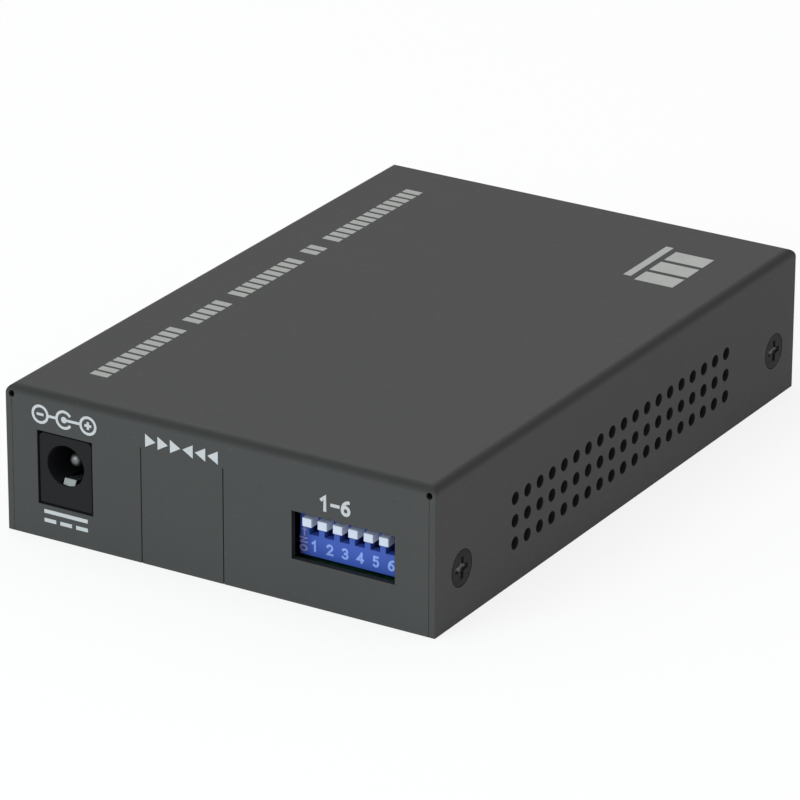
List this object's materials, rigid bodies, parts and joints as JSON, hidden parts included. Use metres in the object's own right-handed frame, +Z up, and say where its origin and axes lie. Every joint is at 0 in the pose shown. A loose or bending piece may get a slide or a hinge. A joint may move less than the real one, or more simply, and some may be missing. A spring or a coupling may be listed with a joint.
{
  "type": "fibre media converter",
  "caption": "Small folded-steel box that converts copper network cabling to fibre, with a power jack and a lever switch at one end, ports at the other and vented sides.",
  "frame": {"origin": "centre of the underside, on the surface that it stands on", "axes": "+Z up; +Y towards the end with the network and fibre ports, along the length; -Y towards the end with the power jack and the lever switch"},
  "size_m": [0.0724, 0.108, 0.023],
  "materials": {
    "cover_paint": "fine textured powder coat",
    "tray_paint": "fine textured powder coat",
    "black_screw": "black oxide",
    "plated_steel": "zinc plated",
    "board_green": "solder mask over glass fibre laminate",
    "black_plastic": "moulded",
    "switch_blue": "moulded",
    "lever_white": "moulded",
    "contact_metal": "tin or gold plated",
    "shield_metal": "bright tin plate",
    "ferrule_ceramic": "polished",
    "hook_plastic": "moulded",
    "light_lens": "tinted resin",
    "chip_epoxy": "moulded epoxy",
    "can_metal": "drawn can",
    "ferrite": "dark ferrite"
  },
  "bodies": {
    "case": {"top_cover": "cover_paint", "base_tray": "tray_paint", "case_screws": "black_screw", "board_standoffs": "plated_steel", "board_screws": "plated_steel", "circuit_board": "board_green", "jack_housing": "black_plastic", "jack_pin": "plated_steel", "jack_spring": "contact_metal", "backplane_socket": "black_plastic", "backplane_terminals": "contact_metal", "switch_housing": "switch_blue", "switch_base": "switch_blue", "switch_springs": "contact_metal", "switch_terminals": "contact_metal", "lan_insert": "black_plastic", "lan_shield": "shield_metal", "lan_contact_row": "contact_metal", "fibre_housing": "black_plastic", "ferrule_sleeves": "ferrule_ceramic", "latch_hooks": "hook_plastic", "fibre_pin_row": "contact_metal", "light_holder": "black_plastic", "status_lights": "light_lens", "light_leads": "contact_metal", "main_chip": "chip_epoxy", "main_chip_leads": "contact_metal", "lan_transformer": "chip_epoxy", "lan_transformer_leads": "contact_metal", "clock_crystal": "shield_metal", "capacitor_cans": "can_metal", "power_inductor": "ferrite", "voltage_regulator": "chip_epoxy"},
    "lever_1": {"switch_lever_1": "lever_white"},
    "lever_2": {"switch_lever_2": "lever_white"},
    "lever_3": {"switch_lever_3": "lever_white"},
    "lever_4": {"switch_lever_4": "lever_white"},
    "lever_5": {"switch_lever_5": "lever_white"},
    "lever_6": {"switch_lever_6": "lever_white"}
  },
  "joints": [
    {"name": "lever_1_slide", "type": "slide", "parent": "case", "child": "lever_1", "axis": [0, 0, 1], "range_m": [-0.002, 0]},
    {"name": "lever_2_slide", "type": "slide", "parent": "case", "child": "lever_2", "axis": [0, 0, 1], "range_m": [-0.002, 0]},
    {"name": "lever_3_slide", "type": "slide", "parent": "case", "child": "lever_3", "axis": [0, 0, 1], "range_m": [-0.002, 0]},
    {"name": "lever_4_slide", "type": "slide", "parent": "case", "child": "lever_4", "axis": [0, 0, 1], "range_m": [-0.002, 0]},
    {"name": "lever_5_slide", "type": "slide", "parent": "case", "child": "lever_5", "axis": [0, 0, 1], "range_m": [-0.002, 0]},
    {"name": "lever_6_slide", "type": "slide", "parent": "case", "child": "lever_6", "axis": [0, 0, 1], "range_m": [-0.002, 0]}
  ]
}
